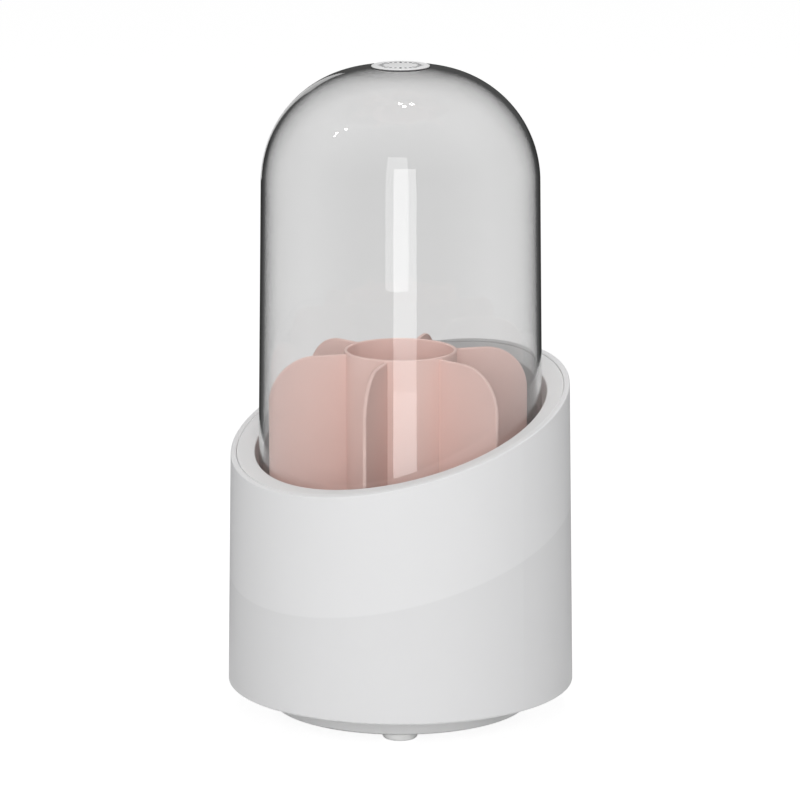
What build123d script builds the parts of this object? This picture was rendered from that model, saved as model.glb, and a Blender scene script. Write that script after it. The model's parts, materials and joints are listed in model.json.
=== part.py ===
from build123d import *
from math import atan2, cos, pi, sin, sqrt
import os

# A countertop holder for makeup brushes. A slant-rimmed white cup turns on a ball-bearing base,
# a blush-coloured insert divides it into a centre tube and six sectors, and a clear dome closes it.
#
# Millimetres throughout. +Z is up, Z is the axis that the cup turns about, and the feet stand
# on z = 0. The cup's rim is lowest towards -Y and highest towards +Y.

# --- Driving dimensions -----------------------------------------------------------------------

# Cup: outer shell, inner liner and their slanted rim
cup_radius = 60.3  # outside, at the lower edge
cup_low = 10.6  # height of the lower edge above the table
cup_draft = 0.016  # the shell narrows by this much per millimetre of height
shell_wall = 2.05
shell_foot_round = 0.8
lip_round = 0.4
rim_slope = 0.30  # rise of the slanted rim per millimetre towards +Y
rim_height = 103.6  # the liner's mouth, measured on the axis
lip_rise = 1.4  # the shell's lip stands this far above the mouth
land_rise = 1.25  # the liner's land is a shallow dish, and its outer edge stands this far above the mouth
mouth_radius = 50.6  # the liner's opening
mouth_round = 0.5
liner_floor_radius = 50.2  # inside the liner, at its floor
liner_wall = 1.8
liner_floor_low = 18.0
floor_thickness = 2.0
flange_thickness = 1.6
flange_gap = 0.08  # between the flange's edge and the shell
flange_round = 0.3
flange_ledge = 2.2  # thickness of the shell's ledge under the flange
flange_ledge_reach = 4.6  # from the mouth out to the ledge
rotor_ledge = 1.6  # thickness of the shell's ledge over the rotor plate
rotor_ledge_reach = 1.4
boss_overlap = 1.0

# Insert: divided inner cup
insert_floor_thickness = 1.6
insert_radius = 49.6
insert_wall = 1.6
insert_heel_round = 1.0
insert_edge_round = 0.4
tube_radius = 19.5
tube_wall = 1.2
tube_top = 128.3
vane_count = 6
vane_radius = 46.2
vane_thickness = 1.4
vane_top = 127.6
vane_corner = 15.8
vane_edge_round = 0.5
bridge_drop = 1.5  # the bridges from vane to wall stop this far below the dome's seat

# Dome
dome_seat = 70.9  # height at which the dome stands on the insert's wall
dome_mouth_radius = 49.55
dome_shoulder_radius = 47.96
dome_shoulder = 187.7  # where the straight wall ends
dome_corner = 39.4
dome_crown = 80.0  # radius of the shallow top
dome_wall = 1.5
dome_mouth_round = 0.4
badge_radius = 10.0
badge_top = 227.15
badge_thickness = 0.75
badge_round = 0.2
pocket_gap = 0.05  # round the badge, in the flat-bottomed pocket that it sits in
pocket_floor = 1.2  # thickness of the dome under the badge

# Turntable: base plate, feet, ball ring, rotor plate and pivot
foot_height = 2.8  # exposed below the base plate
foot_radius = 6.0
foot_recess = 0.8
foot_circle = 37.5
foot_count = 4
foot_round = 0.9
foot_clearance = 0.15
base_radius = 45.1
base_floor = 2.5
base_skirt = 2.0
base_top = 10.3
base_foot_round = 0.6
base_brim_round = 0.4
ball_radius = 2.5
ball_height = 8.0  # height of the balls' centres
ball_circle = 34.0
ball_count = 12
ball_clearance = 0.08
race_half_width = 3.2
race_depth = 0.9
cage_half_width = 4.6
cage_thickness = 2.2
cage_chamfer = 0.3
ball_pocket_gap = 0.12
rotor_low = 11.1
rotor_thickness = 2.5
rotor_radius = 57.8
rotor_gap = 0.2  # play between the hub and the washer
hub_radius = 8.0
hub_low = 6.8
spigot_radius = 4.0
spigot_top = 14.0
spigot_clearance = 0.08
spigot_flare = 2.4  # the spigot's foot is this much larger in radius
hub_clearance = 1.0  # from the spigot's foot up to the hub
rib_count = 8
rib_thickness = 1.6
rib_drop = 0.4  # the ribs stop this far below the top of the spigot's foot

# Fasteners
washer_radius = 8.5
washer_thickness = 1.0
washer_chamfer = 0.2
pivot_shank = 2.0
pivot_length = 9.0
pivot_head_radius = 4.0
pivot_head_height = 2.6
pivot_head_round = 1.2
pilot_spare = 0.6  # pilot hole left beyond the pivot screw's point
plate_screw_shank = 1.5
plate_screw_head = 2.8
plate_screw_sink = 1.5  # depth of the countersink
plate_screw_point = 1.2
plate_screw_length = 6.0
plate_screw_circle = 50.0
plate_screw_count = 4
boss_radius = 3.6
screw_hole_cover = 1.2  # liner floor left over each plate screw's hole
thread_clearance = 0.05
hole_clearance = 0.1

# --- Derived heights ----------------------------------------------------------------------------

base_low = foot_height
base_floor_top = base_low + base_floor
lower_race_top = ball_height - ball_radius - ball_clearance + race_depth
upper_race_low = ball_height + ball_radius + ball_clearance - race_depth
rotor_top = rotor_low + rotor_thickness
liner_floor_top = liner_floor_low + floor_thickness
insert_floor_top = liner_floor_top + insert_floor_thickness
tall = 140.0  # above every point of the cup's rim
near = 0.1  # how close to a radius or height an edge is taken to be on it
over = 1.0  # how far a cutter runs past a face, and a joined piece runs into its neighbour

STANDING = (Align.CENTER, Align.CENTER, Align.MIN)

# --- Helpers ------------------------------------------------------------------------------------


def disc(radius, low, high):
    """A cylinder round the axis, from one height to another."""
    return Pos(0, 0, low) * Cylinder(radius, high - low, align=STANDING)


def ring(outer, inner, low, high):
    """A plain ring round the axis."""
    return disc(outer, low, high) - disc(inner, low - over, high + over)


def turned(*corners):
    """A solid of revolution with straight sides, from its (radius, height) corners."""
    outline = Polyline(*[(r, 0, z) for r, z in corners], close=True)
    return revolve(make_face(outline), Axis.Z)


def around(count, radius, start=0.0):
    """Evenly spaced places on a circle, each turned to face outwards."""
    step = 360.0 / count
    return [Rot(0, 0, start + i * step) * Pos(radius, 0, 0) for i in range(count)]


def under_slope(height):
    """All the space below the slanted plane that passes the axis at this height."""
    reach = 2 * cup_radius
    rise = rim_slope * reach
    side = Polyline(
        (0, -reach, -50), (0, reach, -50), (0, reach, height + rise), (0, -reach, height - rise), close=True
    )
    return extrude(make_face(side), amount=reach, dir=(1, 0, 0), both=True)


def slanted_disc(radius, height):
    """The face that a cylinder round the axis cuts from a plane parallel to the rim."""
    plane = Plane(origin=(0, 0, height), x_dir=(1, 0, 0), z_dir=(0, -rim_slope, 1))
    return plane * Ellipse(radius, radius * sqrt(1 + rim_slope**2))


def slanted_bowl(low_radius, low, high_radius, high):
    """A shallow cone frustum with its two ends parallel to the rim."""
    return loft([slanted_disc(low_radius, low), slanted_disc(high_radius, high)], ruled=True)


def slanted_ring(outer, inner, low, high):
    """A ring cut between two planes parallel to the rim, by their heights on the axis."""
    return (ring(outer, inner, 0, tall) & under_slope(high)) - under_slope(low)


def shell_radius(z):
    """Outside radius of the drafted shell at a height."""
    return cup_radius - cup_draft * (z - cup_low)


def round_edges(solid, height, radius):
    """Level circular edges round the axis, at a height and a radius."""

    def matches(edge):
        point = edge.position_at(0.0)
        level = abs(point.Z - height) < near and abs(edge.position_at(0.5).Z - height) < near
        return level and abs(sqrt(point.X**2 + point.Y**2) - radius) < near

    return solid.edges().filter_by(matches)


def slanted_edges(solid, height, radius_low, radius_high):
    """Edges that run round the axis near the slanted plane of this height."""

    def follows(edge):
        for point in (edge.position_at(0.0), edge.position_at(0.5)):
            distance = sqrt(point.X**2 + point.Y**2)
            above = point.Z - rim_slope * point.Y - height
            if abs(above) > 3 * near or not radius_low <= distance <= radius_high:
                return False
        return True

    return solid.edges().filter_by(follows)


# --- Turntable ----------------------------------------------------------------------------------


def race_groove(clearance):
    """The torus that the balls' surfaces sweep, opened by the running clearance."""
    return Pos(0, 0, ball_height) * Torus(ball_circle, ball_radius + clearance)


def make_base_plate():
    """Shallow dish with the lower race, the pivot spigot, ribs and four foot recesses."""
    plate = turned(
        (0, base_low),
        (base_radius, base_low),
        (base_radius, base_top),
        (base_radius - base_skirt, base_top),
        (base_radius - base_skirt, base_floor_top),
        (0, base_floor_top),
    )
    root = base_low + over
    race_inner = ball_circle - race_half_width
    plate += ring(ball_circle + race_half_width, race_inner, root, lower_race_top)
    plate += disc(spigot_radius, root, spigot_top)
    flare_top = hub_low - hub_clearance
    plate += disc(spigot_radius + spigot_flare, root, flare_top)
    rib_start = spigot_radius + spigot_flare - over
    rib_length = race_inner + over - rib_start
    rib_height = flare_top - rib_drop - root
    for place in around(rib_count, rib_start):
        rib = Box(rib_length, rib_thickness, rib_height, align=(Align.MIN, Align.CENTER, Align.MIN))
        plate += place * Pos(0, 0, root) * rib
    plate -= race_groove(ball_clearance)
    pilot_low = spigot_top - pivot_length - pilot_spare
    plate -= disc(pivot_shank + thread_clearance, pilot_low, spigot_top + over)
    for place in around(foot_count, foot_circle, start=45.0):
        plate -= place * disc(foot_radius + foot_clearance, base_low - over, base_low + foot_recess)
    plate = fillet(round_edges(plate, base_low, base_radius), base_foot_round)
    return fillet(round_edges(plate, base_top, base_radius), base_brim_round)


def make_foot_pad():
    """Soft round pad, softened at its lower edge."""
    pad = disc(foot_radius, 0, foot_height + foot_recess)
    return fillet(round_edges(pad, 0, foot_radius), foot_round)


def make_ball_cage():
    """Flat ring with one pocket for each ball."""
    low = ball_height - cage_thickness / 2
    high = ball_height + cage_thickness / 2
    outer = ball_circle + cage_half_width
    cage = ring(outer, ball_circle - cage_half_width, low, high)
    for place in around(ball_count, ball_circle):
        cage -= place * disc(ball_radius + ball_pocket_gap, low - over, high + over)
    return chamfer(round_edges(cage, low, outer) + round_edges(cage, high, outer), cage_chamfer)


def make_rotor_plate():
    """Underside of the cup: upper race, hub bore and four countersunk holes."""
    plate = disc(rotor_radius, rotor_low, rotor_top)
    race_inner = ball_circle - race_half_width
    plate += ring(ball_circle + race_half_width, race_inner, upper_race_low, rotor_low + over)
    plate += disc(hub_radius, hub_low, spigot_top - rotor_gap)
    plate -= race_groove(ball_clearance)
    plate -= disc(spigot_radius + spigot_clearance, hub_low - over, spigot_top + over)
    sink = turned(
        (0, rotor_low - over),
        (plate_screw_head + hole_clearance, rotor_low - over),
        (plate_screw_head + hole_clearance, rotor_low),
        (plate_screw_shank + hole_clearance, rotor_low + plate_screw_sink),
        (plate_screw_shank + hole_clearance, rotor_top + over),
        (0, rotor_top + over),
    )
    for place in around(plate_screw_count, plate_screw_circle):
        plate -= place * sink
    return plate


def make_pivot_washer():
    """Steel washer that keeps the rotor plate on the spigot."""
    top = spigot_top + washer_thickness
    washer = ring(washer_radius, pivot_shank + hole_clearance, spigot_top, top)
    rims = round_edges(washer, spigot_top, washer_radius) + round_edges(washer, top, washer_radius)
    return chamfer(rims, washer_chamfer)


def cross_recess(depth, reach, width):
    """Cutter for a cross-head drive, standing on z = 0 and pointing down."""
    slot = Pos(0, 0, -depth) * Box(2 * reach, width, 2 * depth, align=STANDING)
    return slot + Rot(0, 0, 90) * slot


def make_pivot_screw():
    """Pan-head screw down the axis into the spigot."""
    seat = spigot_top + washer_thickness
    screw = disc(pivot_shank, seat - pivot_length, seat + 0.5)
    head = disc(pivot_head_radius, seat, seat + pivot_head_height)
    screw += fillet(round_edges(head, seat + pivot_head_height, pivot_head_radius), pivot_head_round)
    return screw - Pos(0, 0, seat + pivot_head_height) * cross_recess(1.4, 2.1, 0.9)


def make_plate_screws():
    """Four identical countersunk screws, heads down, that hold the rotor plate to the liner."""
    low = rotor_low + thread_clearance
    screw = turned(
        (0, low),
        (plate_screw_head, low),
        (plate_screw_shank, low + plate_screw_sink),
        (plate_screw_shank, low + plate_screw_length - plate_screw_point),
        (0, low + plate_screw_length),
    )
    screw -= Pos(0, 0, low) * Rot(180, 0, 0) * cross_recess(1.0, 1.5, 0.7)
    return Compound([place * screw for place in around(plate_screw_count, plate_screw_circle)])


# --- Cup ----------------------------------------------------------------------------------------


def make_outer_shell():
    """Drafted white sleeve with a slanted lip, a ledge for the flange and one for the rotor plate."""
    shell = turned(
        (shell_radius(cup_low) - shell_wall, cup_low),
        (shell_radius(cup_low), cup_low),
        (shell_radius(tall), tall),
        (shell_radius(tall) - shell_wall, tall),
    )
    shell = shell & under_slope(rim_height + lip_rise)
    lip = slanted_edges(shell, rim_height + lip_rise, mouth_radius, cup_radius)
    shell = fillet(lip, lip_round)
    shell = fillet(round_edges(shell, cup_low, cup_radius), shell_foot_round)
    ledge_top = rim_height - flange_thickness
    ledge_outer = shell_radius(rim_height) - shell_wall / 2
    ledge_inner = mouth_radius + flange_ledge_reach
    shell += slanted_ring(ledge_outer, ledge_inner, ledge_top - flange_ledge, ledge_top)
    lower_inner = rotor_radius - rotor_ledge_reach
    shell += ring(cup_radius - shell_wall / 2, lower_inner, rotor_top, rotor_top + rotor_ledge)
    return shell


def under_land(body):
    """The part of a body below the land: a dish that falls from the flange's edge to the mouth."""
    edge_radius = shell_radius(rim_height) - shell_wall - flange_gap
    fall = land_rise / (edge_radius - mouth_radius)

    def land_height(radius):
        return rim_height + fall * (radius - mouth_radius)

    inner = mouth_radius - 4 * over
    outer = edge_radius + 4 * over
    above = slanted_bowl(inner, land_height(inner), outer, land_height(outer))
    return (body & under_slope(land_height(edge_radius + 2 * over))) - above


def make_inner_cup():
    """Liner: dished and slanted flange, drafted wall, floor and four screw bosses."""
    flange_edge = shell_wall + flange_gap
    liner_draft = (mouth_radius - liner_floor_radius) / (rim_height - liner_floor_top)
    top_radius = liner_floor_radius + liner_draft * (tall - liner_floor_top)
    liner = turned(
        (0, liner_floor_low),
        (liner_floor_radius + liner_wall, liner_floor_low),
        (top_radius + liner_wall, tall),
        (0, tall),
    )
    flange = turned(
        (0, 0),
        (shell_radius(0) - flange_edge, 0),
        (shell_radius(tall) - flange_edge, tall),
        (0, tall),
    )
    liner += flange - under_slope(rim_height - flange_thickness)
    liner = under_land(liner)
    for place in around(plate_screw_count, plate_screw_circle):
        liner += place * disc(boss_radius, rotor_top, liner_floor_low + boss_overlap)
    hollow = turned(
        (0, liner_floor_top),
        (liner_floor_radius, liner_floor_top),
        (top_radius, tall),
        (0, tall),
    )
    liner -= hollow
    screw_hole_top = liner_floor_top - screw_hole_cover
    for place in around(plate_screw_count, plate_screw_circle):
        liner -= place * disc(plate_screw_shank + thread_clearance, rotor_top - over, screw_hole_top)
    mouth = slanted_edges(liner, rim_height, mouth_radius - over, mouth_radius + over)
    liner = fillet(mouth, mouth_round)
    flange_radius = shell_radius(rim_height) - flange_edge
    brim = slanted_edges(liner, rim_height + land_rise, flange_radius - over, flange_radius + over)
    return fillet(brim, flange_round)


# --- Insert and dome ----------------------------------------------------------------------------


def make_vane():
    """One upright vane along +X: square at the tube, with a generous outer corner."""
    inner = tube_radius - tube_wall / 2
    low = insert_floor_top - 0.5
    corner_start = (vane_radius - vane_corner, 0, vane_top)
    corner_end = (vane_radius, 0, vane_top - vane_corner)
    cut_back = vane_corner * (1 - cos(pi / 4))
    corner_middle = (vane_radius - cut_back, 0, vane_top - cut_back)
    outline = [
        Line((inner, 0, low), (inner, 0, vane_top)),
        Line((inner, 0, vane_top), corner_start),
        ThreePointArc(corner_start, corner_middle, corner_end),
        Line(corner_end, (vane_radius, 0, low)),
        Line((vane_radius, 0, low), (inner, 0, low)),
    ]
    vane = extrude(make_face(outline), amount=vane_thickness / 2, dir=(0, 1, 0), both=True)

    def outer_edge(edge):
        start = edge.position_at(0.0)
        end = edge.position_at(1.0)
        along = abs(start.Y - end.Y) < 1e-6
        return along and min(start.X, end.X) > inner - 0.01 and max(start.Z, end.Z) > low + 1

    kept = [e for e in vane.edges() if outer_edge(e) and e.position_at(0.5).X > inner + 0.5]
    return fillet(kept, vane_edge_round)


def make_divider_insert():
    """Lift-out inner cup in one moulding: floor, low outer wall, centre tube and six vanes."""
    inner_wall = insert_radius - insert_wall
    insert = turned(
        (0, liner_floor_top),
        (insert_radius, liner_floor_top),
        (insert_radius, dome_seat),
        (inner_wall, dome_seat),
        (inner_wall, insert_floor_top),
        (0, insert_floor_top),
    )
    insert = fillet(round_edges(insert, liner_floor_top, insert_radius), insert_heel_round)
    tube = ring(tube_radius, tube_radius - tube_wall, insert_floor_top - 0.5, tube_top)
    rims = round_edges(tube, tube_top, tube_radius) + round_edges(tube, tube_top, tube_radius - tube_wall)
    insert += fillet(rims, insert_edge_round)
    vane = make_vane()
    bridge_length = inner_wall + 0.5 - (vane_radius - 1)
    bridge_height = dome_seat - bridge_drop - insert_floor_top
    bridge = Box(bridge_length, vane_thickness, bridge_height, align=(Align.MIN, Align.CENTER, Align.MIN))
    bridge = Pos(vane_radius - 1, 0, insert_floor_top) * bridge
    for turn in around(vane_count, 0):
        insert += turn * vane
        insert += turn * bridge
    return insert


def dome_profile(inset):
    """Lines of the dome's outer profile, or of one inset from it, from the mouth to the axis."""
    lean = atan2(dome_mouth_radius - dome_shoulder_radius, dome_shoulder - dome_seat)
    corner_r = dome_shoulder_radius - dome_corner * cos(lean)
    corner_z = dome_shoulder - dome_corner * sin(lean)
    crown_z = corner_z - sqrt((dome_crown - dome_corner) ** 2 - corner_r**2)
    meet = atan2(corner_z - crown_z, corner_r)
    small = dome_corner - inset
    large = dome_crown - inset

    def on_corner(angle):
        return (corner_r + small * cos(angle), 0, corner_z + small * sin(angle))

    def on_crown(angle):
        return (large * cos(angle), 0, crown_z + large * sin(angle))

    mouth = (dome_mouth_radius - inset / cos(lean), 0, dome_seat)
    wall = Line(mouth, on_corner(lean))
    corner = ThreePointArc(on_corner(lean), on_corner((lean + meet) / 2), on_corner(meet))
    crown = ThreePointArc(on_corner(meet), on_crown((meet + pi / 2) / 2), on_crown(pi / 2))
    return [wall, corner, crown], mouth, on_crown(pi / 2)


def make_dome_cover():
    """Clear capsule-topped cover, open below, with an even wall and a shallow pocket for the badge."""
    outside, outer_mouth, outer_top = dome_profile(0)
    inside, inner_mouth, inner_top = dome_profile(dome_wall)
    outline = outside + inside + [Line(outer_mouth, inner_mouth), Line(outer_top, inner_top)]
    dome = revolve(make_face(outline), Axis.Z)
    rims = round_edges(dome, dome_seat, outer_mouth[0]) + round_edges(dome, dome_seat, inner_mouth[0])
    dome = fillet(rims, dome_mouth_round)
    seat = badge_top - badge_thickness
    dome += disc(badge_radius, seat - pocket_floor, seat)
    return dome - disc(badge_radius + pocket_gap, seat, tall + dome_crown + dome_corner)


def make_top_badge():
    """Plain flat badge let into the dome's crown."""
    badge = disc(badge_radius, badge_top - badge_thickness, badge_top)
    return fillet(round_edges(badge, badge_top, badge_radius), badge_round)


# --- Write the parts ----------------------------------------------------------------------------


def single(shape):
    """The one solid that a piece is made of."""
    solids = shape.solids()
    assert len(solids) == 1, f"expected one solid, found {len(solids)}"
    return solids[0]


def main():
    os.makedirs("parts", exist_ok=True)
    pieces = {
        "base_plate": single(make_base_plate()),
        "ball_cage": single(make_ball_cage()),
        "rotor_plate": single(make_rotor_plate()),
        "pivot_washer": single(make_pivot_washer()),
        "pivot_screw": single(make_pivot_screw()),
        "plate_screws": make_plate_screws(),
        "outer_shell": single(make_outer_shell()),
        "inner_cup": single(make_inner_cup()),
        "divider_insert": single(make_divider_insert()),
        "dome_cover": single(make_dome_cover()),
        "top_badge": single(make_top_badge()),
    }
    foot = make_foot_pad()
    for i, place in enumerate(around(foot_count, foot_circle, start=45.0), 1):
        pieces[f"foot_pad_{i}"] = single(place * foot)
    ball = Pos(0, 0, ball_height) * Sphere(ball_radius)
    for i, place in enumerate(around(ball_count, ball_circle), 1):
        pieces[f"bearing_ball_{i:02d}"] = single(place * ball)
    for name, shape in pieces.items():
        export_step(shape, f"parts/{name}.step")


main()
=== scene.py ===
"""Looks for the rotating makeup-brush holder: a slant-rimmed white cup with a divided blush
insert under a clear dome. Everything is in metres, in the row frame: +Z up, feet on z = 0, and
the cup's rim rises towards +Y."""

import json
from collections import namedtuple
from math import acos, atan2, cos, pi, radians, sin, sqrt

import bmesh
import bpy
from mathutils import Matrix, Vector


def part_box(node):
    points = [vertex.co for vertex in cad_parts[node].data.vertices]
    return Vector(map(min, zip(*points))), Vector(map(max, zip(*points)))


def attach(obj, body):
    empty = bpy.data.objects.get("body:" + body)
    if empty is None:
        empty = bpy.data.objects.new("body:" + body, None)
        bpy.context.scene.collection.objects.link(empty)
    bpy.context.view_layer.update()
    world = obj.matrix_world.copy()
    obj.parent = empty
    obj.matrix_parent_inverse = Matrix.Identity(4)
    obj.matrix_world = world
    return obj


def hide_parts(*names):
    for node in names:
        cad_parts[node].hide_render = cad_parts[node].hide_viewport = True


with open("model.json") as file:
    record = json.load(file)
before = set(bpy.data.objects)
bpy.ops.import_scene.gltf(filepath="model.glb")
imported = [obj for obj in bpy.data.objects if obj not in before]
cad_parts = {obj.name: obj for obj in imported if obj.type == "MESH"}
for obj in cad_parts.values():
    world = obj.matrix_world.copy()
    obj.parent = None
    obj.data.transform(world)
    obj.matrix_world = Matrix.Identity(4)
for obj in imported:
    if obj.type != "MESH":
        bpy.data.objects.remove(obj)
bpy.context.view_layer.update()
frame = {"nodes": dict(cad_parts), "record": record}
nodes = frame["nodes"]

MM = 0.001

# --- Sizes, in metres, worked out from the frame where it holds them -----------------------------

dome_low, dome_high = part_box("dome_cover")
badge_low, badge_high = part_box("top_badge")

RIM_SLOPE = 0.30  # rise of the cup's rim towards +Y
# Painted shade on the shell: its colour is made darker below a line parallel to the rim, to copy a
# fall in light there.
PAINTED_SHADE_EDGE = 63.5 * MM  # height on the axis of a painted shade boundary round the shell, parallel to the rim
PAINTED_SHADE_SOFTNESS = 0.3 * MM
PAINTED_SHADE_DROP = 0.95  # painted shade: brightness of the shell's colour below that boundary

DOME_MOUTH_RADIUS = dome_high.x
DOME_SHOULDER_RADIUS = 47.96 * MM
DOME_SHOULDER = 187.7 * MM
DOME_CORNER = 39.4 * MM
DOME_CROWN = 80.0 * MM
DOME_WALL = 1.5 * MM
DOME_SEGMENTS = 256
MOUTH_STEPS = 6  # across the rounded lower edge
WALL_STEPS = 24  # up the straight wall
CORNER_STEPS = 72  # round the shoulder
CROWN_STEPS = 18  # over the shallow top
SMOOTH_UP_TO = 60.0  # degrees; edges sharper than this stay sharp

BADGE_RADIUS = badge_high.x
BADGE_ROUND = 0.2 * MM
BADGE_SEGMENTS = 128
BADGE_EDGE_STEPS = 8  # round the softened edge
BADGE_LIFT = 0.01 * MM  # keeps the badge's back off the floor of its pocket
POCKET_RADIUS = BADGE_RADIUS + 0.05 * MM
PAD_THICKNESS = 1.2 * MM  # of the dome under the badge
DOT_CIRCLE = 6.7 * MM
DOT_COUNT = 24
LONG_DOT_EVERY = 3
LONG_DOT = 2.4 * MM  # along the badge's radius
SHORT_DOT = 0.6 * LONG_DOT
DOT_WIDTH = 0.9 * MM
DOT_RELIEF = 0.03 * MM
DOT_SIDES = 16

# --- Looks ---------------------------------------------------------------------------------------

# A moulded plastic: its colour and how far that varies, its range of roughness, and the height
# and scale of its grain.
Plastic = namedtuple("Plastic", "colour variation roughness grain grain_scale")
PLASTICS = {
    "shell_white": Plastic((0.83, 0.83, 0.835), 0.012, (0.34, 0.42), 0.004 * MM, 700.0),
    "liner_white": Plastic((0.84, 0.84, 0.84), 0.012, (0.38, 0.46), 0.004 * MM, 700.0),
    "base_white": Plastic((0.80, 0.80, 0.80), 0.02, (0.40, 0.50), 0.006 * MM, 700.0),
    "blush_plastic": Plastic((0.87, 0.64, 0.587), 0.03, (0.50, 0.60), 0.03 * MM, 1300.0),
    "natural_nylon": Plastic((0.78, 0.76, 0.69), 0.03, (0.45, 0.60), 0.01 * MM, 900.0),
    "silicone": Plastic((0.96, 0.96, 0.95), 0.02, (0.42, 0.52), 0.01 * MM, 900.0),
    "badge_white": Plastic((0.93, 0.93, 0.93), 0.01, (0.30, 0.38), 0.002 * MM, 900.0),
    "badge_print": Plastic((0.16, 0.16, 0.17), 0.1, (0.50, 0.60), 0.002 * MM, 2500.0),
}
PLASTIC_SHINE = 0.05  # of the moulded pieces, which show no highlights in even light

# A metal: its colour and its range of roughness.
Metal = namedtuple("Metal", "colour roughness")
METALS = {
    "plated_steel": Metal((0.62, 0.62, 0.63), (0.25, 0.38)),
    "bearing_steel": Metal((0.72, 0.72, 0.73), (0.08, 0.16)),
}

DOME_TINT = 0.88
DOME_SMOKE = 35.0  # absorption density in the dome's wall
DOME_SHADOW = 0.92  # share of a lamp's light that gets through one face of the dome

# --- Camera --------------------------------------------------------------------------------------

CAMERA_AZIMUTH = 45.3
CAMERA_ELEVATION = 12.45
CAMERA_DISTANCE = 1.6
CAMERA_TARGET = (-0.13 * MM, -0.13 * MM, 110.2 * MM)
CAMERA_LENS = 207.8

# --- Light ---------------------------------------------------------------------------------------

SOFTBOX_DISTANCE = 1.4
SOFTBOX_SIZE = (0.9, 0.6)
SOFTBOX_AIM = 0.11  # height of the point that the softboxes face
FRONT_RADIANCE = 4.4
TOP_RADIANCE = 3.0
BACK_RADIANCE = 2.0
FILL_RADIANCE = 0.7
INNER_GLOW = 2.85
AMBIENT = 0.31
FLOOR_GLOW = 0.90
FLOOR_REACH = 12.0

# What mirrored rays find round the object.
REFLECTED_BEHIND = 0.09
REFLECTED_FLOOR_BEHIND = 0.05
REFLECTED_SIDES = 0.72
REFLECTED_FRONT = 0.18
REFLECTED_ABOVE = 0.55  # on top of the rest, overhead

# Where one passes into the next: cosines of the angle from the camera's side, and sines of the
# elevation.
BEHIND_TO_SIDES = (-0.92, -0.45)
SIDES_TO_FRONT = (0.2, 0.85)
SIDES_TO_ABOVE = (0.3, 0.9)

# The upright strip lamps mirrored in the dome: azimuth from the camera, lowest and highest point,
# and radiance.
STRIP_DISTANCE = 0.45
STRIP_WIDTH = 0.14
STRIPS = {
    "low_strip_lamp": (3.4, 0.009, 0.047, 5.4),
    "strip_lamp": (3.4, 0.047, 0.391, 4.0),
    "faint_strip_lamp": (-2.7, 0.09, 0.51, 2.8),
}

# The small lamps that sparkle in the dome: azimuth from the camera, elevation and width.
SPARKLE_DISTANCE = 1.0
SPARKLE_AIM = 0.2  # height of the point that they face
SPARKLE_RADIANCE = 40.0
SPARKLES = (
    (180.0, 84.0, 0.045),
    (132.7, 81.6, 0.045),
    (143.0, 86.8, 0.04),
    (-78.0, 45.2, 0.04),
    (-73.8, 51.6, 0.04),
    (-76.9, 42.5, 0.03),
)

# --- Meshes of revolution ------------------------------------------------------------------------

# One row of a turned mesh: its radius and its height.
Row = namedtuple("Row", "radius height")


def face_outwards(mesh):
    """Turns every face of a closed mesh so that its normal points out."""
    work = bmesh.new()
    work.from_mesh(mesh)
    bmesh.ops.recalc_face_normals(work, faces=work.faces)
    work.to_mesh(mesh)
    work.free()


def closed_piece(name, points, faces):
    """A piece in the scene with a closed mesh, its faces turned outwards."""
    mesh = bpy.data.meshes.new(name)
    mesh.from_pydata(points, [], faces)
    face_outwards(mesh)
    piece = bpy.data.objects.new(name, mesh)
    bpy.context.scene.collection.objects.link(piece)
    return piece


def turned_piece(name, rows, segments):
    """A piece of revolution through the rows. The first and the last row are points on the axis."""
    points = [(0.0, 0.0, rows[0].height)]
    rings = []
    for row in rows[1:-1]:
        rings.append(range(len(points), len(points) + segments))
        for i in range(segments):
            angle = 2 * pi * i / segments
            points.append((row.radius * cos(angle), row.radius * sin(angle), row.height))
    start, end = 0, len(points)
    points.append((0.0, 0.0, rows[-1].height))
    after = [(i + 1) % segments for i in range(segments)]
    faces = [(start, rings[0][j], rings[0][i]) for i, j in enumerate(after)]
    for a, b in zip(rings, rings[1:]):
        faces += [(a[i], a[j], b[j], b[i]) for i, j in enumerate(after)]
    faces += [(rings[-1][i], rings[-1][j], end) for i, j in enumerate(after)]
    return closed_piece(name, points, faces)


def shade_smooth(piece):
    """Smooth shading that keeps sharp edges."""
    mesh = piece.data
    mesh.polygons.foreach_set("use_smooth", [True] * len(mesh.polygons))
    mesh.set_sharp_from_angle(angle=radians(SMOOTH_UP_TO))


# --- Dome ----------------------------------------------------------------------------------------


def dome_rows(inset, stop):
    """Rows from the mouth up to a radius on the crown, on the outer surface or inset from it."""
    lean = atan2(DOME_MOUTH_RADIUS - DOME_SHOULDER_RADIUS, DOME_SHOULDER - dome_low.z)
    corner_r = DOME_SHOULDER_RADIUS - DOME_CORNER * cos(lean)
    corner_z = DOME_SHOULDER - DOME_CORNER * sin(lean)
    crown_z = corner_z - sqrt((DOME_CROWN - DOME_CORNER) ** 2 - corner_r**2)
    meet = atan2(corner_z - crown_z, corner_r)
    small, large = DOME_CORNER - inset, DOME_CROWN - inset
    end = acos(stop / large)
    rows = []
    for i in range(WALL_STEPS):
        share = i / WALL_STEPS
        z = dome_low.z + share * (DOME_SHOULDER - dome_low.z)
        r = DOME_MOUTH_RADIUS + share * (DOME_SHOULDER_RADIUS - DOME_MOUTH_RADIUS)
        rows.append(Row(r - inset / cos(lean), z))
    for i in range(CORNER_STEPS):
        angle = lean + (meet - lean) * i / CORNER_STEPS
        rows.append(Row(corner_r + small * cos(angle), corner_z + small * sin(angle)))
    for i in range(CROWN_STEPS + 1):
        angle = meet + (end - meet) * i / CROWN_STEPS
        rows.append(Row(large * cos(angle), crown_z + large * sin(angle)))
    return rows


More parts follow.
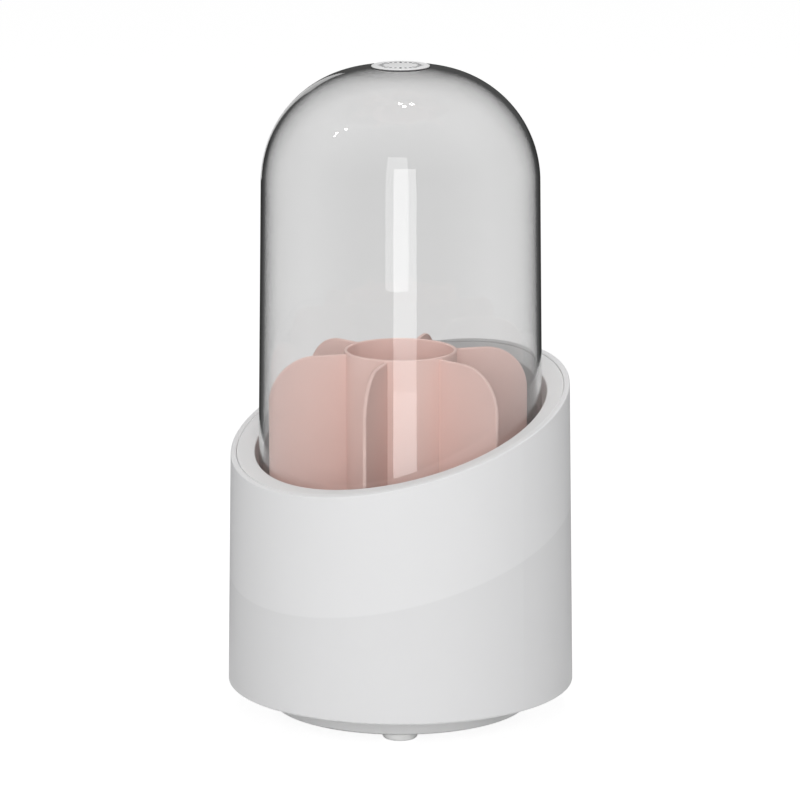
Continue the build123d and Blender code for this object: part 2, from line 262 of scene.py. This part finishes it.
def rounded_mouth(outer, inner, height):
    """Rows round the dome's lower edge, from the outer surface to the inner one."""
    radius = (outer - inner) / 2
    centre = (outer + inner) / 2
    rows = []
    for i in range(MOUTH_STEPS + 1):
        angle = -pi * i / MOUTH_STEPS
        rows.append(Row(centre + radius * cos(angle), height + radius * (1 + sin(angle))))
    return rows


def make_dome():
    """The clear cover: one closed polished wall, with a pocket for the badge and a pad under it."""
    seat = badge_low.z
    pad = seat - PAD_THICKNESS
    outside = dome_rows(0.0, POCKET_RADIUS)
    inside = dome_rows(DOME_WALL, BADGE_RADIUS)
    mouth = rounded_mouth(outside[0].radius, inside[0].radius, dome_low.z)
    pocket = [Row(0.0, seat), Row(POCKET_RADIUS, seat)]
    pad_face = [Row(BADGE_RADIUS, pad), Row(0.0, pad)]
    rows = pocket + outside[:0:-1] + mouth + inside[1:] + pad_face
    dome = turned_piece("clear_dome", rows, DOME_SEGMENTS)
    shade_smooth(dome)
    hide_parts("dome_cover")
    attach(dome, "dome")
    return dome


# --- Badge ---------------------------------------------------------------------------------------


def make_badge():
    """The plain round badge, flat with a softened edge, in its pocket on the crown."""
    flat = BADGE_RADIUS - BADGE_ROUND
    back = badge_low.z + BADGE_LIFT
    rows = [Row(0.0, badge_high.z), Row(flat, badge_high.z)]
    for i in range(1, BADGE_EDGE_STEPS + 1):
        angle = (pi / 2) * (1 - i / BADGE_EDGE_STEPS)
        rise = badge_high.z - BADGE_ROUND + BADGE_ROUND * sin(angle)
        rows.append(Row(flat + BADGE_ROUND * cos(angle), rise))
    rows += [Row(BADGE_RADIUS, back), Row(0.0, back)]
    badge = turned_piece("crown_badge", rows, BADGE_SEGMENTS)
    shade_smooth(badge)
    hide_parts("top_badge")
    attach(badge, "dome")
    return badge


def dot_outline(turn, length, height):
    """Points round one oval dot, which lies along the badge's radius at this turn."""
    out = Vector((cos(turn), sin(turn), 0.0))
    side = Vector((-sin(turn), cos(turn), 0.0))
    middle = DOT_CIRCLE * out + Vector((0.0, 0.0, height))
    points = []
    for i in range(DOT_SIDES):
        angle = 2 * pi * i / DOT_SIDES
        points.append(middle + 0.5 * (length * cos(angle) * out + DOT_WIDTH * sin(angle) * side))
    return points


def make_badge_dots():
    """A ring of small printed oval dots on the badge, every third one longer."""
    points, faces = [], []
    sides = range(DOT_SIDES)
    for i in range(DOT_COUNT):
        turn = 2 * pi * i / DOT_COUNT
        length = SHORT_DOT if i % LONG_DOT_EVERY else LONG_DOT
        low = len(points)
        high = low + DOT_SIDES
        points += dot_outline(turn, length, badge_high.z - DOT_RELIEF)
        points += dot_outline(turn, length, badge_high.z + DOT_RELIEF)
        faces.append([high + k for k in sides])
        faces.append([low + k for k in reversed(sides)])
        for k in sides:
            after = (k + 1) % DOT_SIDES
            faces.append([low + k, low + after, high + after, high + k])
    dots = closed_piece("badge_dots", points, faces)
    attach(dots, "dome")
    return dots


# --- Materials -----------------------------------------------------------------------------------


def new_material(name):
    """An empty node material: its tree, its output and its Principled shader."""
    material = bpy.data.materials.new(name)
    material.use_nodes = True
    tree = material.node_tree
    tree.nodes.clear()
    output = tree.nodes.new("ShaderNodeOutputMaterial")
    shader = tree.nodes.new("ShaderNodeBsdfPrincipled")
    tree.links.new(shader.outputs["BSDF"], output.inputs["Surface"])
    return material, tree, output, shader


def shader_of(material):
    """The material's Principled shader."""
    return next(node for node in material.node_tree.nodes if node.type == "BSDF_PRINCIPLED")


def place(tree):
    """The object's own coordinates."""
    return tree.nodes.new("ShaderNodeTexCoord").outputs["Object"]


def noise(tree, scale, detail):
    """Noise over the object's own coordinates."""
    texture = tree.nodes.new("ShaderNodeTexNoise")
    texture.inputs["Scale"].default_value = scale
    texture.inputs["Detail"].default_value = detail
    tree.links.new(place(tree), texture.inputs["Vector"])
    return texture.outputs["Fac"]


def remap(tree, value, from_low, from_high, low, high):
    """Maps one range onto another, and holds the ends."""
    node = tree.nodes.new("ShaderNodeMapRange")
    node.inputs["From Min"].default_value = from_low
    node.inputs["From Max"].default_value = from_high
    node.inputs["To Min"].default_value = low
    node.inputs["To Max"].default_value = high
    tree.links.new(value, node.inputs["Value"])
    return node.outputs["Result"]


def spread(tree, value, low, high):
    """Maps the middle of a noise's range onto another range."""
    return remap(tree, value, 0.3, 0.7, low, high)


def two_tone(tree, value, first, second):
    """A colour between two, by a value."""
    mix = tree.nodes.new("ShaderNodeMix")
    mix.data_type = "RGBA"
    mix.inputs["A"].default_value = (*first, 1.0)
    mix.inputs["B"].default_value = (*second, 1.0)
    tree.links.new(value, mix.inputs["Factor"])
    return mix.outputs["Result"]


def scaled(tree, colour, value):
    """A colour made darker by a value."""
    node = tree.nodes.new("ShaderNodeVectorMath")
    node.operation = "SCALE"
    tree.links.new(colour, node.inputs["Vector"])
    tree.links.new(value, node.inputs["Scale"])
    return node.outputs["Vector"]


def bump(tree, shader, value, distance):
    """Feeds a height to the shader's normal."""
    node = tree.nodes.new("ShaderNodeBump")
    node.inputs["Distance"].default_value = distance
    tree.links.new(value, node.inputs["Height"])
    tree.links.new(node.outputs["Normal"], shader.inputs["Normal"])


def moulded_plastic(name):
    """Injection-moulded plastic: faint flow mottling, an uneven sheen and a fine grain."""
    look = PLASTICS[name]
    material, tree, _, shader = new_material(name)
    darker = [channel * (1 - look.variation) for channel in look.colour]
    flow = noise(tree, scale=24.0, detail=3.0)
    mottle = two_tone(tree, spread(tree, flow, 0.0, 1.0), darker, look.colour)
    tree.links.new(mottle, shader.inputs["Base Color"])
    sheen = noise(tree, scale=90.0, detail=4.0)
    tree.links.new(spread(tree, sheen, *look.roughness), shader.inputs["Roughness"])
    shader.inputs["Specular IOR Level"].default_value = PLASTIC_SHINE
    bump(tree, shader, noise(tree, scale=look.grain_scale, detail=3.0), look.grain)
    return material


def shell_plastic():
    """The shell's white plastic, with painted shade: its colour is made darker below a line parallel
    to the rim.
    """
    material = moulded_plastic("shell_white")
    tree = material.node_tree
    shader = shader_of(material)
    split = tree.nodes.new("ShaderNodeSeparateXYZ")
    tree.links.new(place(tree), split.inputs["Vector"])
    height = tree.nodes.new("ShaderNodeMath")
    height.operation = "MULTIPLY_ADD"
    height.inputs[1].default_value = -RIM_SLOPE
    tree.links.new(split.outputs["Y"], height.inputs[0])
    tree.links.new(split.outputs["Z"], height.inputs[2])
    # painted shade: scales the shell's colour down below the line parallel to the rim
    low, high = PAINTED_SHADE_EDGE - PAINTED_SHADE_SOFTNESS, PAINTED_SHADE_EDGE + PAINTED_SHADE_SOFTNESS
    tone = remap(tree, height.outputs[0], low, high, PAINTED_SHADE_DROP, 1.0)
    mottle = shader.inputs["Base Color"].links[0].from_socket
    tree.links.new(scaled(tree, mottle, tone), shader.inputs["Base Color"])
    return material


def clear_plastic():
    """Clear polished plastic with a slight smoke, which lets lamps light what stands inside."""
    material, tree, output, shader = new_material("clear_polished_plastic")
    shader.inputs["Transmission Weight"].default_value = 1.0
    shader.inputs["Roughness"].default_value = 0.0
    shader.inputs["IOR"].default_value = 1.49
    shader.inputs["Base Color"].default_value = (DOME_TINT, DOME_TINT, DOME_TINT, 1.0)
    smoke = tree.nodes.new("ShaderNodeVolumeAbsorption")
    smoke.inputs["Color"].default_value = (0.0, 0.0, 0.0, 1.0)
    smoke.inputs["Density"].default_value = DOME_SMOKE
    tree.links.new(smoke.outputs["Volume"], output.inputs["Volume"])
    clear = tree.nodes.new("ShaderNodeBsdfTransparent")
    clear.inputs["Color"].default_value = (DOME_SHADOW, DOME_SHADOW, DOME_SHADOW, 1.0)
    path = tree.nodes.new("ShaderNodeLightPath")
    mix = tree.nodes.new("ShaderNodeMixShader")
    tree.links.new(path.outputs["Is Shadow Ray"], mix.inputs["Fac"])
    tree.links.new(shader.outputs["BSDF"], mix.inputs[1])
    tree.links.new(clear.outputs["BSDF"], mix.inputs[2])
    tree.links.new(mix.outputs["Shader"], output.inputs["Surface"])
    return material


def silicone_rubber():
    """Soft whitish rubber that lets some light through."""
    material = moulded_plastic("silicone")
    shader = shader_of(material)
    shader.inputs["Subsurface Weight"].default_value = 0.3
    shader.inputs["Subsurface Scale"].default_value = 2.0 * MM
    shader.inputs["Subsurface Radius"].default_value = (1.0, 1.0, 1.0)
    return material


def metal(name):
    """Bright metal with a faintly uneven tone and polish."""
    look = METALS[name]
    material, tree, _, shader = new_material(name)
    shader.inputs["Metallic"].default_value = 1.0
    darker = [0.9 * channel for channel in look.colour]
    patches = noise(tree, scale=250.0, detail=3.0)
    tone = two_tone(tree, spread(tree, patches, 0.0, 1.0), darker, look.colour)
    tree.links.new(tone, shader.inputs["Base Color"])
    polish = noise(tree, scale=400.0, detail=3.0)
    tree.links.new(spread(tree, polish, *look.roughness), shader.inputs["Roughness"])
    return material


def dress(piece, material):
    """Gives a piece one material in place of whatever it has."""
    piece.data.materials.clear()
    piece.data.materials.append(material)


# --- Stage ---------------------------------------------------------------------------------------


def feed(tree, value, socket):
    """Sets a socket to a number, or links another socket to it."""
    if isinstance(value, float):
        socket.default_value = value
    else:
        tree.links.new(value, socket)


def maths(tree, operation, first, second):
    """One Math node on two values, each a number or a socket."""
    node = tree.nodes.new("ShaderNodeMath")
    node.operation = operation
    feed(tree, first, node.inputs[0])
    feed(tree, second, node.inputs[1])
    return node.outputs[0]


def blend_values(tree, factor, first, second):
    """A value between two, each a number or a socket."""
    mix = tree.nodes.new("ShaderNodeMix")
    feed(tree, first, mix.inputs["A"])
    feed(tree, second, mix.inputs["B"])
    tree.links.new(factor, mix.inputs["Factor"])
    return mix.outputs["Result"]


def by_ray(tree, bounced, reflected, seen):
    """A value for the studio, by what finds it: scattered light, a mirrored ray or a straight one."""
    path = tree.nodes.new("ShaderNodeLightPath")
    direct = maths(tree, "MAXIMUM", path.outputs["Is Camera Ray"], path.outputs["Is Transmission Ray"])
    sharp = maths(tree, "MAXIMUM", direct, path.outputs["Is Glossy Ray"])
    mirrored = maths(tree, "GREATER_THAN", path.outputs["Glossy Depth"], 0.5)
    mirrored = maths(tree, "MULTIPLY", mirrored, sharp)
    value = blend_values(tree, direct, bounced, seen)
    return blend_values(tree, mirrored, value, reflected)


def mirrored_glow(tree, place_seen, behind_glow):
    """The brightness that mirrored rays find in a direction or at a place on the floor.

    It is bright to the sides, and dim behind the object, which gives clear plastic its dark outline.
    """
    unit = tree.nodes.new("ShaderNodeVectorMath")
    unit.operation = "NORMALIZE"
    tree.links.new(place_seen, unit.inputs[0])
    along = tree.nodes.new("ShaderNodeVectorMath")
    along.operation = "DOT_PRODUCT"
    along.inputs[1].default_value = (sin(radians(CAMERA_AZIMUTH)), -cos(radians(CAMERA_AZIMUTH)), 0.0)
    tree.links.new(unit.outputs["Vector"], along.inputs[0])
    cosine = along.outputs["Value"]
    behind = remap(tree, cosine, *BEHIND_TO_SIDES, behind_glow, REFLECTED_SIDES)
    front_drop = remap(tree, cosine, *SIDES_TO_FRONT, 0.0, REFLECTED_SIDES - REFLECTED_FRONT)
    return maths(tree, "SUBTRACT", behind, front_drop)


def make_floor():
    """A pale floor that fills the view."""
    reach = FLOOR_REACH
    corners = [(-reach, -reach, 0), (reach, -reach, 0), (reach, reach, 0), (-reach, reach, 0)]
    mesh = bpy.data.meshes.new("floor")
    mesh.from_pydata(corners, [], [(0, 1, 2, 3)])
    floor = bpy.data.objects.new("floor", mesh)
    bpy.context.scene.collection.objects.link(floor)
    material, tree, _, shader = new_material("pale_floor")
    tree.links.new(by_ray(tree, bounced=0.95, reflected=0.0, seen=0.25), shader.inputs["Base Color"])
    shader.inputs["Roughness"].default_value = 1.0
    shader.inputs["Specular IOR Level"].default_value = 0.0
    shader.inputs["Emission Color"].default_value = (1.0, 1.0, 1.0, 1.0)
    spot = tree.nodes.new("ShaderNodeNewGeometry").outputs["Position"]
    mirrored = mirrored_glow(tree, spot, REFLECTED_FLOOR_BEHIND)
    glow = by_ray(tree, bounced=0.0, reflected=mirrored, seen=FLOOR_GLOW)
    tree.links.new(glow, shader.inputs["Emission Strength"])
    dress(floor, material)


def make_world():
    """An even white surround, which mirrored rays find dimmer."""
    world = bpy.data.worlds.new("studio")
    bpy.context.scene.world = world
    world.use_nodes = True
    tree = world.node_tree
    direction = tree.nodes.new("ShaderNodeTexCoord").outputs["Generated"]
    split = tree.nodes.new("ShaderNodeSeparateXYZ")
    tree.links.new(direction, split.inputs["Vector"])
    overhead = remap(tree, split.outputs["Z"], *SIDES_TO_ABOVE, 0.0, REFLECTED_ABOVE)
    mirrored = maths(tree, "ADD", mirrored_glow(tree, direction, REFLECTED_BEHIND), overhead)
    strength = by_ray(tree, bounced=AMBIENT, reflected=mirrored, seen=1.0)
    tree.links.new(strength, tree.nodes["Background"].inputs["Strength"])
    tree.nodes["Background"].inputs["Color"].default_value = (1.0, 1.0, 1.0, 1.0)


def seen_from(azimuth, elevation, distance, centre):
    """A point at this distance from the centre, in the direction of a view."""
    a, e = radians(azimuth), radians(elevation)
    back = Vector((sin(a) * cos(e), -cos(a) * cos(e), sin(e)))
    return Vector(centre) + distance * back


def area_light(name, spot, target, size, radiance):
    """A rectangular lamp of a given brightness, aimed at a point and unseen by the camera."""
    data = bpy.data.lights.new(name, "AREA")
    data.shape = "RECTANGLE"
    data.size, data.size_y = size
    data.energy = radiance * pi * size[0] * size[1]
    lamp = bpy.data.objects.new(name, data)
    lamp.location = spot
    lamp.rotation_euler = (Vector(target) - Vector(spot)).to_track_quat("-Z", "Y").to_euler()
    lamp.visible_camera = False
    lamp.visible_transmission = False
    bpy.context.scene.collection.objects.link(lamp)
    return lamp


def softbox(name, azimuth, elevation, radiance, size=SOFTBOX_SIZE, lit=None):
    """A large lamp for even light, which leaves no reflection. It may light some pieces only."""
    centre = Vector((0, 0, SOFTBOX_AIM))
    spot = seen_from(CAMERA_AZIMUTH + azimuth, elevation, SOFTBOX_DISTANCE, centre)
    lamp = area_light(name, spot, centre, size, radiance)
    lamp.visible_glossy = False
    if lit:
        lamp.light_linking.receiver_collection = lit
    return lamp


def reflection_lamp(name, azimuth, elevation, distance, height, size, radiance, seen_in):
    """A lamp that shows only as a reflection in some pieces."""
    centre = Vector((0, 0, height))
    spot = seen_from(CAMERA_AZIMUTH + azimuth, elevation, distance, centre)
    lamp = area_light(name, spot, centre, size, radiance)
    lamp.visible_diffuse = False
    lamp.light_linking.receiver_collection = seen_in


def group(name, pieces):
    """A named set of pieces for a lamp to light."""
    collection = bpy.data.collections.new(name)
    for piece in pieces:
        collection.objects.link(piece)
    return collection


def make_softboxes(covered, solid):
    """Soft light from the front, above and behind, and more for what the dome covers.

    The light from behind misses the dome, and the glow inside it casts no shadows.
    """
    softbox("front_softbox", azimuth=-3.0, elevation=13.0, radiance=FRONT_RADIANCE)
    softbox("top_softbox", azimuth=0.0, elevation=84.0, radiance=TOP_RADIANCE, size=(1.0, 1.0))
    opaque = group("solid_pieces", solid)
    softbox("back_softbox", azimuth=180.0, elevation=15.0, radiance=BACK_RADIANCE, lit=opaque)
    inside = group("covered_pieces", covered)
    softbox("insert_fill", azimuth=-18.0, elevation=42.0, radiance=FILL_RADIANCE, lit=inside)
    glow = softbox("insert_glow", azimuth=-10.0, elevation=10.0, radiance=INNER_GLOW, lit=inside)
    glow.data.use_shadow = False


def make_reflections(polished):
    """Lamps that are mirrored in the polished pieces and light nothing."""
    shown = group("polished_pieces", polished)
    for name, (azimuth, low, high, radiance) in STRIPS.items():
        middle = (low + high) / 2
        size = (STRIP_WIDTH, high - low)
        reflection_lamp(name, azimuth, 0.0, STRIP_DISTANCE, middle, size, radiance, shown)
    for i, (azimuth, elevation, width) in enumerate(SPARKLES):
        reflection_lamp(
            f"sparkle_lamp_{i}", azimuth, elevation, SPARKLE_DISTANCE, SPARKLE_AIM,
            (width, width), SPARKLE_RADIANCE, shown,
        )
    reflection_lamp(
        "side_lamp", azimuth=-166.0, elevation=0.0, distance=0.8, height=0.24,
        size=(0.16, 0.36), radiance=0.9, seen_in=shown,
    )


def make_camera():
    """The view of the reference picture."""
    data = bpy.data.cameras.new("camera")
    data.lens = CAMERA_LENS
    data.sensor_width = 36.0
    data.clip_end = 50.0
    camera = bpy.data.objects.new("camera", data)
    camera.location = seen_from(CAMERA_AZIMUTH, CAMERA_ELEVATION, CAMERA_DISTANCE, CAMERA_TARGET)
    aim = Vector(CAMERA_TARGET) - camera.location
    camera.rotation_euler = aim.to_track_quat("-Z", "Y").to_euler()
    bpy.context.scene.collection.objects.link(camera)
    bpy.context.scene.camera = camera


# --- The scene -----------------------------------------------------------------------------------

dome = make_dome()
badge = make_badge()
dots = make_badge_dots()

by_slot = {
    "shell_white": shell_plastic(),
    "liner_white": moulded_plastic("liner_white"),
    "base_white": moulded_plastic("base_white"),
    "blush_plastic": moulded_plastic("blush_plastic"),
    "natural_nylon": moulded_plastic("natural_nylon"),
    "silicone": silicone_rubber(),
    "plated_steel": metal("plated_steel"),
    "bearing_steel": metal("bearing_steel"),
}
solid = []
for part in frame["record"]["subparts"]:
    if part["material_slot"] in by_slot:
        piece = nodes[part["node"]]
        dress(piece, by_slot[part["material_slot"]])
        solid.append(piece)
dress(dome, clear_plastic())
dress(badge, moulded_plastic("badge_white"))
dress(dots, moulded_plastic("badge_print"))

make_camera()
make_world()
make_floor()
make_softboxes([nodes["divider_insert"]], solid)
make_reflections([dome])
bpy.context.scene.view_settings.view_transform = "Standard"
